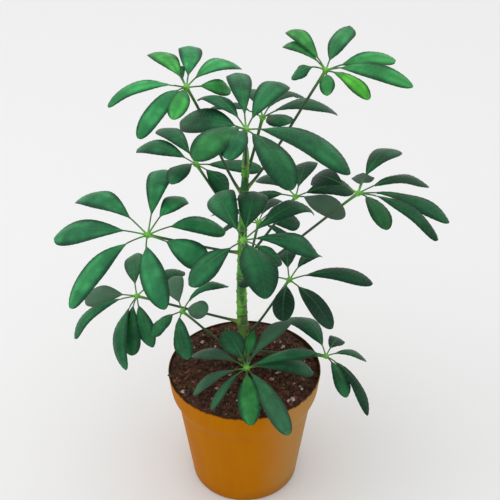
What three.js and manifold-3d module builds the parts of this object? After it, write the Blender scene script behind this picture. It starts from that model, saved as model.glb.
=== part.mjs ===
// A young umbrella plant (dwarf schefflera) in a tapered plastic nursery pot.
// Millimetres, +Z up. The origin is the middle of the pot's base, on the surface it stands on.
// The front of the plant looks along -Y.

import * as THREE from 'three';
import { mergeVertices } from 'three/addons/utils/BufferGeometryUtils.js';
import Module from 'manifold-3d';

const wasm = await Module();
wasm.setup();

// ---- driving dimensions -------------------------------------------------------------------

const RIM_RADIUS = 65; // a 13 cm nursery pot
const POT_HEIGHT = 114;
const BASE_RADIUS = 46.5;
const BODY_TOP_RADIUS = 57.6;
const COLLAR_HEIGHT = 25; // the wider band below the rim
const COLLAR_FOOT_RADIUS = 62.8;
const COLLAR_STEP = 10; // the height over which the wall widens into the collar
const COLLAR_START = POT_HEIGHT - COLLAR_HEIGHT - COLLAR_STEP / 2;
const COLLAR_END = COLLAR_START + COLLAR_STEP;
const WALL = 1.6;
const FLOOR = 2.4;
const FOOT_CHAMFER = 1.5;
const RIM_ROUNDING = 0.6;
const POT_SIDES = 60;
const DRAIN_HOLES = 6;
const DRAIN_RADIUS = 4;
const DRAIN_CIRCLE = 30; // the radius on which the drain holes stand
const DRAIN_SIDES = 12;

const GAP = 0.3; // between pieces that touch
const SOIL_EDGE = POT_HEIGHT - 1; // where the soil meets the wall
const SOIL_CROWN = 5; // the soil's heap above its edge
const SOIL_SHOULDER_RADIUS = 56; // halfway up the heap
const SOIL_CROWN_RADIUS = 36; // the heap is level inside this radius
const SOIL_DIP = 1; // the soil's dip around the stem

const STEM_TOP = 330;
const STEM_FOOT_RADIUS = 5;
const STEM_TOP_RADIUS = 2.4;
const BUD_LENGTH = 14; // the stem ends in a pointed bud
const BUD_TIP_RADIUS = 0.7;
const STEM_ROOT_DEPTH = 40; // how deep the stem stands in the soil
const STEM_SIDES = 10;
const STEM_RINGS = 26;
const STEM_BOTTOM = POT_HEIGHT - STEM_ROOT_DEPTH;

const PETIOLE_RADIUS = 1.1;
const PETIOLE_FOOT_RADIUS = 1.9;
const PETIOLE_FOOT_SHARE = 0.25; // the share of its length over which the thicker foot thins
const PETIOLE_SWEEP = 0.06; // how far it first leans out from the stem, as a share of its length
const PETIOLE_SWEEP_AT = 0.2; // where along its length that lean is
const PETIOLE_BEND_AT = 0.65; // where along its length a bend is
const PETIOLE_SIDES = 6;
const PETIOLE_RINGS = 8;
const HUB_RADIUS = 2.4; // the knuckle that carries the leaflets
const STALK_WIDTH = 1.8; // each leaflet's own short stalk
const STALK_BEND = 0.6; // where the stalk's middle ring stands, as a share of its length
const RIB_DEPTH = 0.7; // the blade below its midrib's groove
const GROOVE_DEPTH = 0.35; // the blade above it
const MARGIN_DROP = 0.1; // how far the blade's margins hang below its middle, as a share of its width
const BOW = 0.16; // how far a leaflet arches up, as a share of its reach
const BLADE_STATIONS = [0, 0.16, 0.36, 0.58, 0.8, 0.94, 1]; // from the blade's base to its tip

// ---- leaves -------------------------------------------------------------------------------
// hub: where the leaflets meet. node: the height on the stem where the leaf stalk starts.
// lean: the way the whole leaf faces, [bearing, degrees from level].
// stalk: the bare length from the hub to each blade.
// bend: how far the leaf stalk bows out of its straight way, where it does.
// leaflets: [bearing, reach from the hub to the tip, rise, blade width, roll, bow],
// with bearings in degrees anticlockwise from +X as seen from above. Roll turns the blade
// about its length, and bow is its arch where that isn't BOW.

const LEAVES = [
  {
    name: 'leaf_top_left', hub: [-41, 10, 366], node: 285, lean: [300, 15], stalk: 9, bend: [0, 12, 0],
    leaflets: [
      [119, 60, 4, 19], [91, 60, 7, 18], [106, 46, -6, 13], [50, 58, -3, 19, 0, 0.19],
      [30, 38, -16, 13, 30], [205, 59, -4, 12, 0, 0.22], [238, 60, -16, 15, 0, 0.2],
      [260, 42, -8, 15],
    ],
  },
  {
    name: 'leaf_top_right', hub: [59, 15, 377], node: 290, lean: [230, 15], stalk: 10,
    leaflets: [
      [115, 61, 8, 13], [122, 53, 1, 14], [196, 26, -9, 13, -5, 0.27], [67, 57, 14, 17, 0, 0.06],
      [14, 53, 2, 15, 15], [338, 64, -2, 16, 10], [306, 47, -7, 12], [269, 30, -13, 11],
    ],
  },
  {
    name: 'leaf_upper_front', hub: [2, -40, 357], node: 312, lean: [300, 10], stalk: 10,
    leaflets: [
      [96, 72, 9, 17.5], [120, 68, -4, 17], [133, 74, -15, 23, -30, 0.07], [237, 60, 3, 22],
      [256, 48, 2, 17], [296, 67, -12, 22], [334, 78, -12, 25], [65, 66, 6, 20],
    ],
  },
  {
    name: 'leaf_upper_back', hub: [14, 15, 340], node: 302, lean: [90, 5], stalk: 10,
    leaflets: [
      [62, 66, -9, 18], [30, 68, -11, 22, 8], [300, 35, 14, 20, 6, 0.12], [100, 64, -8, 19],
      [142, 58, -14, 18],
    ],
  },
  {
    name: 'leaf_left_back', hub: [-38, 45, 285], node: 252, lean: [150, 10], stalk: 9,
    leaflets: [
      [146, 61, -4, 20, -15, 0.18], [122, 62, 5, 19, 0, 0.18], [251, 47, 8, 18], [76, 58, -20, 17],
      [22, 58, -14, 18, 20, 0.04], [329, 34, -31, 18, 10],
    ],
  },
  {
    name: 'leaf_left', hub: [-71, -30, 266], node: 231, lean: [255, 20], stalk: 16,
    leaflets: [
      [142, 73, 3, 22, 6, 0.2], [171, 74, -8, 22, -4, 0.16], [221, 78, -25, 19, 0, 0.2],
      [285, 68, -19, 20, 20, 0.18], [84, 73, 13, 19], [65, 58, 1, 17, 10], [21, 62, -10, 20],
      [340, 50, -16, 22, 10],
    ],
  },
  {
    name: 'leaf_front', hub: [0, -70, 287], node: 240, lean: [300, 15], stalk: 9,
    leaflets: [
      [108, 62, 4, 23, -30], [83, 64, 2, 22], [42, 70, -6, 15, 0, 0.23], [6, 56, -17, 19, 0, 0.15],
      [284, 62, -6, 25], [202, 49, -35, 20, 0, 0.16], [330, 32, -20, 11],
    ],
  },
  {
    name: 'leaf_right_back', hub: [41, 30, 264], node: 222, lean: [210, 15], stalk: 9,
    leaflets: [
      [74, 56, 2, 18], [122, 57, -11, 17], [317, 49, 1, 21], [25, 54, -8, 21, 15],
      [165, 40, -16, 14],
    ],
  },
  {
    name: 'leaf_right', hub: [85, -10, 290], node: 209, lean: [210, 8], stalk: 13,
    leaflets: [
      [56, 65, 7, 20, 0, 0.2], [23, 62, -7, 18], [342, 70, -10, 17, 0, 0.13], [322, 70, -12, 13],
      [288, 51, -2, 16, -15], [125, 55, -12, 19, -20], [76, 31, 1, 18, 0, 0.04],
    ],
  },
  {
    name: 'leaf_back', hub: [12, 75, 212], node: 192, lean: [90, 10], stalk: 9,
    leaflets: [
      [0, 36, -2, 24, 20], [38, 56, -4, 18], [72, 58, -10, 18], [108, 58, -8, 18],
      [144, 52, -12, 17], [184, 36, -16, 14], [326, 40, -18, 15],
    ],
  },
  {
    name: 'leaf_right_low', hub: [35, -25, 222], node: 150, lean: [200, 10], stalk: 12,
    leaflets: [
      [87, 51, -7, 17], [58, 50, -7, 13], [357, 64, -1, 18], [302, 57, -11, 15], [262, 44, -9, 17],
      [178, 40, -8, 14],
    ],
  },
  {
    name: 'leaf_left_low', hub: [-90, 20, 174], node: 162, lean: [225, 20], stalk: 10,
    leaflets: [
      [96, 51, 11, 18], [160, 53, -17, 20, -15], [201, 63, -28, 13, 0, 0.25],
      [264, 64, -34, 17, 25, 0.2], [292, 48, -30, 16, 15], [267, 51, -38, 18],
      [40, 50, 2, 15, 0, 0.17],
    ],
  },
  {
    name: 'leaf_small_left', hub: [-50, -8, 179], node: 126, lean: [200, 20], stalk: 8,
    leaflets: [
      [104, 44, 6, 18], [32, 44, 11, 13, 0, 0.26], [325, 29, 24, 16, 20], [279, 46, -18, 17, 20],
      [217, 32, -21, 17],
    ],
  },
  {
    name: 'leaf_front_low', hub: [2, -35, 142], node: 124, lean: [210, 8], stalk: 8,
    leaflets: [
      [132, 35, 38, 20], [77, 31, 38, 10], [45, 56, 21, 15], [4, 55, -9, 19], [300, 68, -16, 17],
      [274, 54, -14, 18], [231, 46, -17, 8], [190, 49, -26, 12], [147, 56, -12, 14],
      [5, 56, 12, 14, 0, 0.1],
    ],
  },
  {
    name: 'leaf_small_right', hub: [68, -10, 134], node: 132, lean: [0, 15], stalk: 8,
    leaflets: [
      [67, 40, -16, 14], [27, 46, -27, 12], [307, 60, -27, 12], [292, 41, -20, 15],
      [123, 54, 6, 25, 0, 0.2], [199, 32, 13, 12],
    ],
  },
];

// ---- solids -------------------------------------------------------------------------------

const WELD_DISTANCE = 1e-4;

function toSolid(geometry) {
  const bare = geometry.clone();
  bare.deleteAttribute('normal');
  bare.deleteAttribute('uv');
  const merged = mergeVertices(bare, WELD_DISTANCE);
  return new wasm.Manifold(new wasm.Mesh({
    numProp: 3,
    vertProperties: new Float32Array(merged.attributes.position.array),
    triVerts: new Uint32Array(merged.index.array),
  }));
}

function toGeometry(solid) {
  const mesh = solid.getMesh();
  const geometry = new THREE.BufferGeometry();
  geometry.setAttribute('position', new THREE.BufferAttribute(mesh.vertProperties, 3));
  geometry.setIndex(new THREE.BufferAttribute(mesh.triVerts, 1));
  geometry.computeVertexNormals();
  return geometry;
}

// A closed skin over rings of points. The diagonals of neighbouring strips lean opposite ways, so
// that the upper and lower faces of a blade are cut into triangles alike.
function loft(rings) {
  const sides = rings[0].length;
  const points = rings.flat();
  const faces = [];
  const corner = (ring, side) => ring * sides + (side % sides);
  for (let ring = 0; ring + 1 < rings.length; ring += 1) {
    for (let side = 0; side < sides; side += 1) {
      const a = corner(ring, side);
      const b = corner(ring, side + 1);
      const c = corner(ring + 1, side + 1);
      const d = corner(ring + 1, side);
      if (side % 2 === 0) faces.push(a, b, c, a, c, d);
      else faces.push(a, b, d, b, c, d);
    }
  }
  const last = rings.length - 1;
  for (let side = 2; side < sides; side += 1) {
    faces.push(corner(0, 1), corner(0, side + 1), corner(0, side));
    faces.push(corner(last, 1), corner(last, side), corner(last, side + 1));
  }
  const geometry = new THREE.BufferGeometry().setFromPoints(points);
  geometry.setIndex(faces);
  return toSolid(geometry);
}

function tube(curve, steps, sides, radiusAt) {
  const frames = curve.computeFrenetFrames(steps, false);
  const rings = [];
  for (let step = 0; step <= steps; step += 1) {
    const share = step / steps;
    const middle = curve.getPointAt(share);
    const ring = [];
    for (let side = 0; side < sides; side += 1) {
      const turn = (2 * Math.PI * side) / sides;
      ring.push(middle.clone()
        .addScaledVector(frames.normals[step], radiusAt(share) * Math.cos(turn))
        .addScaledVector(frames.binormals[step], radiusAt(share) * Math.sin(turn)));
    }
    rings.push(ring);
  }
  return loft(rings);
}

function direction(bearing, rise) {
  const turn = THREE.MathUtils.degToRad(bearing);
  const lift = THREE.MathUtils.degToRad(rise);
  return new THREE.Vector3(
    Math.cos(lift) * Math.cos(turn),
    Math.cos(lift) * Math.sin(turn),
    Math.sin(lift),
  );
}

// A solid turned around the Z axis from [radius, height] points that start and end on the axis.
function turned(outline) {
  const lathe = new THREE.LatheGeometry(outline.map(([r, z]) => new THREE.Vector2(r, z)), POT_SIDES);
  lathe.rotateX(Math.PI / 2);
  return toSolid(lathe);
}

// ---- pot ----------------------------------------------------------------------------------

function potGeometry() {
  let solid = turned([
    [0, 0],
    [BASE_RADIUS - FOOT_CHAMFER, 0],
    [BASE_RADIUS, FOOT_CHAMFER],
    [BODY_TOP_RADIUS, COLLAR_START],
    [COLLAR_FOOT_RADIUS, COLLAR_END],
    [RIM_RADIUS, POT_HEIGHT - RIM_ROUNDING],
    [RIM_RADIUS - RIM_ROUNDING, POT_HEIGHT],
    [RIM_RADIUS - WALL, POT_HEIGHT - RIM_ROUNDING],
    [COLLAR_FOOT_RADIUS - WALL, COLLAR_END],
    [BODY_TOP_RADIUS - WALL, COLLAR_START],
    [BASE_RADIUS - WALL, FLOOR],
    [0, FLOOR],
  ]);
  for (let hole = 0; hole < DRAIN_HOLES; hole += 1) {
    const turn = (2 * Math.PI * hole) / DRAIN_HOLES;
    const drill = new THREE.CylinderGeometry(DRAIN_RADIUS, DRAIN_RADIUS, FLOOR * 3, DRAIN_SIDES);
    drill.rotateX(Math.PI / 2);
    drill.translate(DRAIN_CIRCLE * Math.cos(turn), DRAIN_CIRCLE * Math.sin(turn), FLOOR / 2);
    solid = solid.subtract(toSolid(drill));
  }
  return toGeometry(solid);
}

// ---- soil, with the plain hole that the stem stands in ------------------------------------

function soilGeometry() {
  const inset = WALL + GAP;
  const holeRadius = STEM_FOOT_RADIUS + 3 * GAP;
  return toGeometry(turned([
    [0, FLOOR + GAP],
    [BASE_RADIUS - inset, FLOOR + GAP],
    [BODY_TOP_RADIUS - inset, COLLAR_START],
    [COLLAR_FOOT_RADIUS - inset, COLLAR_END + GAP],
    [RIM_RADIUS - inset - GAP, SOIL_EDGE],
    [SOIL_SHOULDER_RADIUS, SOIL_EDGE + SOIL_CROWN / 2],
    [SOIL_CROWN_RADIUS, SOIL_EDGE + SOIL_CROWN],
    [holeRadius, SOIL_EDGE + SOIL_CROWN - SOIL_DIP],
    [holeRadius, STEM_BOTTOM - GAP],
    [0, STEM_BOTTOM - GAP],
  ]));
}

// ---- stem ---------------------------------------------------------------------------------

const STEM_LINE = new THREE.CatmullRomCurve3([
  new THREE.Vector3(0, 0, STEM_BOTTOM),
  new THREE.Vector3(0, 0, POT_HEIGHT + 10),
  new THREE.Vector3(-2, 0, 185),
  new THREE.Vector3(-1, 0, 250),
  new THREE.Vector3(1, -4, 300),
  new THREE.Vector3(2, -8, STEM_TOP),
]);
const STEM_SAMPLES = 400;

function stemRadius(height) {
  const share = (height - POT_HEIGHT) / (STEM_TOP - POT_HEIGHT);
  const radius = THREE.MathUtils.lerp(STEM_FOOT_RADIUS, STEM_TOP_RADIUS, Math.max(share, 0));
  const bud = Math.max(height - (STEM_TOP - BUD_LENGTH), 0) / BUD_LENGTH;
  return THREE.MathUtils.lerp(radius, BUD_TIP_RADIUS, bud * bud);
}

function stemPointAt(height) {
  let best = STEM_LINE.getPointAt(0);
  for (let sample = 1; sample <= STEM_SAMPLES; sample += 1) {
    const point = STEM_LINE.getPointAt(sample / STEM_SAMPLES);
    if (Math.abs(point.z - height) < Math.abs(best.z - height)) best = point;
  }
  return best;
}

function stemGeometry() {
  const radiusAt = (share) => stemRadius(THREE.MathUtils.lerp(STEM_BOTTOM, STEM_TOP, share));
  return toGeometry(tube(STEM_LINE, STEM_RINGS, STEM_SIDES, radiusAt));
}

// ---- compound leaves ----------------------------------------------------------------------

// The blade's width from its base (0) to its tip (1): widest past the middle, blunt at the tip.
function bladeShape(share) {
  const rising = 0.95;
  const falling = 0.5;
  const widest = rising / (rising + falling);
  const most = widest ** rising * (1 - widest) ** falling;
  return (share ** rising * (1 - share) ** falling) / most;
}

function leafletSolid(hub, face, stalk, [bearing, reach, rise, width, roll = 0, bow = BOW]) {
  const along = direction(bearing, rise);
  const up = face.clone().addScaledVector(along, -face.dot(along)).normalize();
  up.applyAxisAngle(along, THREE.MathUtils.degToRad(roll));
  const across = new THREE.Vector3().crossVectors(up, along);
  const middleAt = (distance) => {
    const share = distance / reach;
    return hub.clone().addScaledVector(along, distance)
      .addScaledVector(up, 4 * bow * reach * share * (1 - share));
  };
  const ring = (distance, bladeWidth) => {
    const middle = middleAt(distance);
    const half = Math.max(bladeWidth, STALK_WIDTH) / 2;
    const hang = Math.max(bladeWidth - STALK_WIDTH, 0) * MARGIN_DROP;
    const groove = bladeWidth > STALK_WIDTH ? GROOVE_DEPTH : STALK_WIDTH / 2;
    return [
      middle.clone().addScaledVector(across, half).addScaledVector(up, -hang),
      middle.clone().addScaledVector(up, groove),
      middle.clone().addScaledVector(across, -half).addScaledVector(up, -hang),
      middle.clone().addScaledVector(up, -RIB_DEPTH),
    ];
  };
  const rings = [ring(0, 0), ring(stalk * STALK_BEND, 0)];
  for (const share of BLADE_STATIONS) {
    rings.push(ring(stalk + share * (reach - stalk), width * bladeShape(share)));
  }
  return loft(rings);
}

// A leaf's long stalk: its foot stands just clear of the stem and its other end is in the hub.
function petioleSolid(hub, node, bend) {
  const core = stemPointAt(node);
  const out = new THREE.Vector3(hub.x - core.x, hub.y - core.y, 0).normalize();
  const slope = hub.clone().sub(core).normalize().z;
  const clear = stemRadius(node) + GAP + Math.abs(slope) * PETIOLE_FOOT_RADIUS;
  const foot = core.clone().addScaledVector(out, clear);
  const sweep = out.clone().multiplyScalar(PETIOLE_SWEEP * hub.distanceTo(foot));
  const curve = new THREE.CubicBezierCurve3(
    foot,
    foot.clone().lerp(hub, PETIOLE_SWEEP_AT).add(sweep),
    foot.clone().lerp(hub, PETIOLE_BEND_AT).add(bend),
    hub,
  );
  const radiusAt = (share) => THREE.MathUtils.lerp(
    PETIOLE_FOOT_RADIUS,
    PETIOLE_RADIUS,
    Math.min(share / PETIOLE_FOOT_SHARE, 1),
  );
  return tube(curve, PETIOLE_RINGS, PETIOLE_SIDES, radiusAt);
}

function leafGeometry({ hub, node, lean, stalk, leaflets, bend = [0, 0, 0] }) {
  const middle = new THREE.Vector3(...hub);
  const [leanBearing, leanAngle] = lean;
  const face = direction(leanBearing, 90 - leanAngle);
  const knuckle = new THREE.IcosahedronGeometry(HUB_RADIUS, 0);
  knuckle.translate(...hub);
  let solid = toSolid(knuckle).add(petioleSolid(middle, node, new THREE.Vector3(...bend)));
  for (const leaflet of leaflets) {
    solid = solid.add(leafletSolid(middle, face, stalk, leaflet));
  }
  return toGeometry(solid);
}

// ---- assembly -----------------------------------------------------------------------------

const plastic = new THREE.MeshStandardMaterial({ color: 0xa8620c, roughness: 0.45, metalness: 0 });
const peat = new THREE.MeshStandardMaterial({ color: 0x3a2317, roughness: 1, metalness: 0 });
const bark = new THREE.MeshStandardMaterial({ color: 0x3f7a25, roughness: 0.6, metalness: 0 });
const foliage = new THREE.MeshStandardMaterial({ color: 0x2b7048, roughness: 0.35, metalness: 0 });

function piece(name, geometry, material) {
  const mesh = new THREE.Mesh(geometry, material);
  mesh.name = name;
  return mesh;
}

const plant = new THREE.Group();
plant.add(piece('pot', potGeometry(), plastic));
plant.add(piece('soil', soilGeometry(), peat));
plant.add(piece('stem', stemGeometry(), bark));
for (const leaf of LEAVES) {
  plant.add(piece(leaf.name, leafGeometry(leaf), foliage));
}

export default plant;
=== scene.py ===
import math
import random

import bmesh
import bpy
from mathutils import Matrix, Vector, noise


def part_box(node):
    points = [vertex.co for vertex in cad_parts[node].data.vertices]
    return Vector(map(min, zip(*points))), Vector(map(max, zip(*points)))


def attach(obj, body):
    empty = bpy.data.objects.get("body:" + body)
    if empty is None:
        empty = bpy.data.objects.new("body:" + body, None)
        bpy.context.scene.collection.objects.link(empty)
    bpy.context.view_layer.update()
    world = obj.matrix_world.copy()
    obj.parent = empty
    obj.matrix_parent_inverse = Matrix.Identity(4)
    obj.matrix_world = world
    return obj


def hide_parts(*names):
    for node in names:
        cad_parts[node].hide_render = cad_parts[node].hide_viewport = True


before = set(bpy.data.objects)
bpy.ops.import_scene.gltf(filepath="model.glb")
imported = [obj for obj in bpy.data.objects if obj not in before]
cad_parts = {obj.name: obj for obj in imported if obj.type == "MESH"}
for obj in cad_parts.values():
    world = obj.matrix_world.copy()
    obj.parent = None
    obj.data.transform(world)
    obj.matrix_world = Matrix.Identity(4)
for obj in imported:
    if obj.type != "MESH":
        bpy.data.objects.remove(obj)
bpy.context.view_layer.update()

# ---- Camera ----
# A long lens a little above the top leaves, looking down into the pot from the front.

CAMERA_PLACE = (0.0047, -0.6237, 0.6422)
CAMERA_DOWN = 33.26  # degrees below level
CAMERA_LENS = 68.4  # millimetres
CAMERA_SENSOR = 36.0

scene = bpy.context.scene
camera = bpy.data.objects.new("camera", bpy.data.cameras.new("camera"))
camera.data.sensor_width = CAMERA_SENSOR
camera.data.lens = CAMERA_LENS
camera.location = CAMERA_PLACE
camera.rotation_euler = (math.radians(90 - CAMERA_DOWN), 0, 0)
scene.collection.objects.link(camera)
scene.camera = camera

# ---- Nursery pot ----
# A tapered cup moulded in one piece from orange-brown polypropylene, with a wider collar band
# under its rounded rim and six drain holes in its floor. The outside is satin from the mould.

pot_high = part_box("pot")[1]
RIM_RADIUS = pot_high.x
RIM_HEIGHT = pot_high.z
BASE_RADIUS = 0.0465
BODY_TOP_RADIUS = 0.0576
COLLAR_FOOT_RADIUS = 0.0628
COLLAR_HEIGHT = 0.025
COLLAR_STEP = 0.010
POT_WALL = 0.0016
POT_FLOOR = 0.0024
POT_SIDES = 160
CORNER_STEPS = 7
DRAIN_HOLES = 6
DRAIN_RADIUS = 0.004
DRAIN_CIRCLE = 0.030
DRAIN_SIDES = 32

collar_foot = RIM_HEIGHT - COLLAR_HEIGHT - COLLAR_STEP / 2
collar_top = collar_foot + COLLAR_STEP
collar_slope = (RIM_RADIUS - COLLAR_FOOT_RADIUS) / (RIM_HEIGHT - collar_top)

# (radius, height, rounding of that corner), from the middle of the underside round to the inside
POT_OUTLINE = [
    (0.0, 0.0, 0.0),
    (BASE_RADIUS, 0.0, 0.0022),
    (BODY_TOP_RADIUS, collar_foot, 0.0045),
    (COLLAR_FOOT_RADIUS, collar_top, 0.0045),
    (RIM_RADIUS, RIM_HEIGHT, 0.0010),
    (RIM_RADIUS - POT_WALL, RIM_HEIGHT, 0.0006),
    (COLLAR_FOOT_RADIUS - POT_WALL, collar_top, 0.0025),
    (BODY_TOP_RADIUS - POT_WALL, collar_foot, 0.0025),
    (BASE_RADIUS - POT_WALL, POT_FLOOR, 0.0015),
    (0.0, POT_FLOOR, 0.0),
]

POT_DEEP = (0.42, 0.129, 0.0002)
POT_ORANGE = (0.49, 0.172, 0.0005)
POT_BLOTCH = (0.46, 0.175, 0.002)
# A paler tan painted on the right side as a broad sheen
POT_PAINTED_SHEEN = (0.4, 0.232, 0.08)
# Near-black brown: peat stain on the rim, and stain with painted shade on the inside wall
POT_STAIN_AND_SHADE = (0.03, 0.014, 0.007)
POT_DIRT = (0.16, 0.07, 0.02)
POT_SCUFF = (0.55, 0.28, 0.07)
# Where these start and end: to the right, over the rim, in from the outside, and up from the base
PAINTED_SHEEN_SIDE = (0.014, 0.056)
STAINED_RIM = (0.0015, 0.0035)
STAIN_AND_SHADE_INSIDE = (0.0009, 0.0004)
DIRTY_FOOT = (-0.010, 0.004)


def spoke(radius, turn):
    """A place at a distance from the upright axis, as x and y."""
    return radius * math.cos(turn), radius * math.sin(turn)


def turns(sides):
    """Even turns once round, in radians."""
    return [math.tau * side / sides for side in range(sides)]


def rounded(outline):
    """The outline as points, with each corner that has a rounding replaced by a short curve."""
    points = []
    for index, (radius, height, rounding) in enumerate(outline):
        corner = Vector((radius, height))
        if rounding == 0:
            points.append(corner)
            continue
        before = (Vector(outline[index - 1][:2]) - corner).normalized() * rounding + corner
        after = (Vector(outline[index + 1][:2]) - corner).normalized() * rounding + corner
        for step in range(CORNER_STEPS + 1):
            share = step / CORNER_STEPS
            points.append(before.lerp(corner, share).lerp(corner.lerp(after, share), share))
    return points


def span(skin, rings, sides):
    """Joins rings of points by bands of faces. A ring may be one point on the axis."""
    for lower, upper in zip(rings, rings[1:]):
        for side in range(sides):
            after = (side + 1) % sides
            corners = [lower[side % len(lower)], lower[after % len(lower)],
                       upper[after % len(upper)], upper[side % len(upper)]]
            skin.faces.new(list(dict.fromkeys(corners)))


def mesh_from(skin, name):
    """The finished skin as a mesh of that name."""
    mesh = bpy.data.meshes.new(name)
    skin.to_mesh(mesh)
    skin.free()
    return mesh


def turned_mesh(name, points, sides):
    """A mesh turned round the upright axis. The first and last points are on the axis."""
    skin = bmesh.new()
    rings = []
    for radius, height in points:
        around = turns(sides) if radius > 0 else [0]
        rings.append([skin.verts.new((*spoke(radius, turn), height)) for turn in around])
    span(skin, rings, sides)
    bmesh.ops.recalc_face_normals(skin, faces=skin.faces)
    return mesh_from(skin, name)


def put(name, mesh, slot, *nodes):
    """Puts a piece in the scene, on the plant's one body, in place of the solids named."""
    piece = bpy.data.objects.new(name, mesh)
    scene.collection.objects.link(piece)
    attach(piece, "root")
    if nodes:
        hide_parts(*nodes)


def smooth(mesh, angle):
    """Shades the mesh as one soft skin, with a hard edge only at corners sharper than the angle."""
    mesh.shade_smooth()
    mesh.set_sharp_from_angle(angle=math.radians(angle))


class Finish:
    """A material in the making: its node tree, short words for its nodes, and the colour that its
    layers have reached so far."""

    def __init__(self, name):
        self.material = bpy.data.materials.new(name)
        self.material.use_nodes = True
        self.tree = self.material.node_tree
        self.shader = self.tree.nodes["Principled BSDF"]
        self.places = self.node("TexCoord").outputs["Object"]

    def node(self, kind):
        return self.tree.nodes.new("ShaderNode" + kind)

    def link(self, value, socket):
        """Gives a socket a plain value, or what another node puts out."""
        if isinstance(value, bpy.types.NodeSocket):
            self.tree.links.new(value, socket)
        else:
            socket.default_value = value

    def parts(self, vector):
        """The three parts of a vector."""
        node = self.node("SeparateXYZ")
        self.link(vector, node.inputs[0])
        return node.outputs

    def carried(self, name):
        """What each point of the mesh carries under that name, as its three parts."""
        node = self.node("Attribute")
        node.attribute_name = name
        return self.parts(node.outputs["Vector"])

    def stretched(self, x, y, z):
        """The places with each axis scaled, for clouds that are drawn out one way."""
        node = self.node("Mapping")
        self.link(self.places, node.inputs["Vector"])
        node.inputs["Scale"].default_value = (x, y, z)
        return node.outputs[0]

    def cloud(self, scale, detail, roughness=0.55, places=None):
        node = self.node("TexNoise")
        self.link(places or self.places, node.inputs["Vector"])
        node.inputs["Scale"].default_value = scale
        node.inputs["Detail"].default_value = detail
        node.inputs["Roughness"].default_value = roughness
        return node.outputs["Fac"]

    def cells(self, scale, feature="F1", places=None):
        node = self.node("TexVoronoi")
        node.feature = feature
        self.link(places or self.places, node.inputs["Vector"])
        node.inputs["Scale"].default_value = scale
        return node.outputs["Distance"]

    def sum(self, kind, *values):
        node = self.node("Math")
        node.operation = kind
        for value, socket in zip(values, node.inputs):
            self.link(value, socket)
        return node.outputs[0]

    def between(self, value, low, high, to_low=0.0, to_high=1.0):
        """The value carried from one range to another, softly at both ends."""
        node = self.node("MapRange")
        node.interpolation_type = "SMOOTHSTEP"
        for given, socket in zip((value, low, high, to_low, to_high), node.inputs):
            self.link(given, socket)
        return node.outputs[0]

    def mixed(self, share, first, second, kind="MIX"):
        node = self.node("Mix")
        node.data_type = "RGBA"
        node.blend_type = kind
        self.link(share, node.inputs[0])
        for colour, socket in ((first, node.inputs[6]), (second, node.inputs[7])):  # the colour pair
            self.link(colour if isinstance(colour, bpy.types.NodeSocket) else (*colour, 1.0), socket)
        return node.outputs[2]

    def base(self, share, first, second):
        """The colour under all layers, which goes from the first to the second with the share."""
        self.colour = self.mixed(share, first, second)

    def layer(self, share, colour, most=None, kind="MIX"):
        """Lays a colour over the finish, as far as its share at each place, times the most of it."""
        if most is not None:
            share = self.sum("MULTIPLY", share, most)
        self.colour = self.mixed(share, self.colour, colour, kind)

    def relief(self, height, distance, strength, under=None):
        """Bumps of a height, over the bumps that are there already."""
        node = self.node("Bump")
        node.inputs["Strength"].default_value = strength
        node.inputs["Distance"].default_value = distance
        self.link(height, node.inputs["Height"])
        if under is not None:
            self.link(under, node.inputs["Normal"])
        return node.outputs[0]

    def done(self, roughness, normal, gloss=0.5):
        """The material, with its roughness, its bumps, and a gloss that is the same all over it."""
        self.link(self.colour, self.shader.inputs["Base Color"])
        self.link(roughness, self.shader.inputs["Roughness"])
        self.link(normal, self.shader.inputs["Normal"])
        self.shader.inputs["Specular IOR Level"].default_value = gloss
        return self.material


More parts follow.
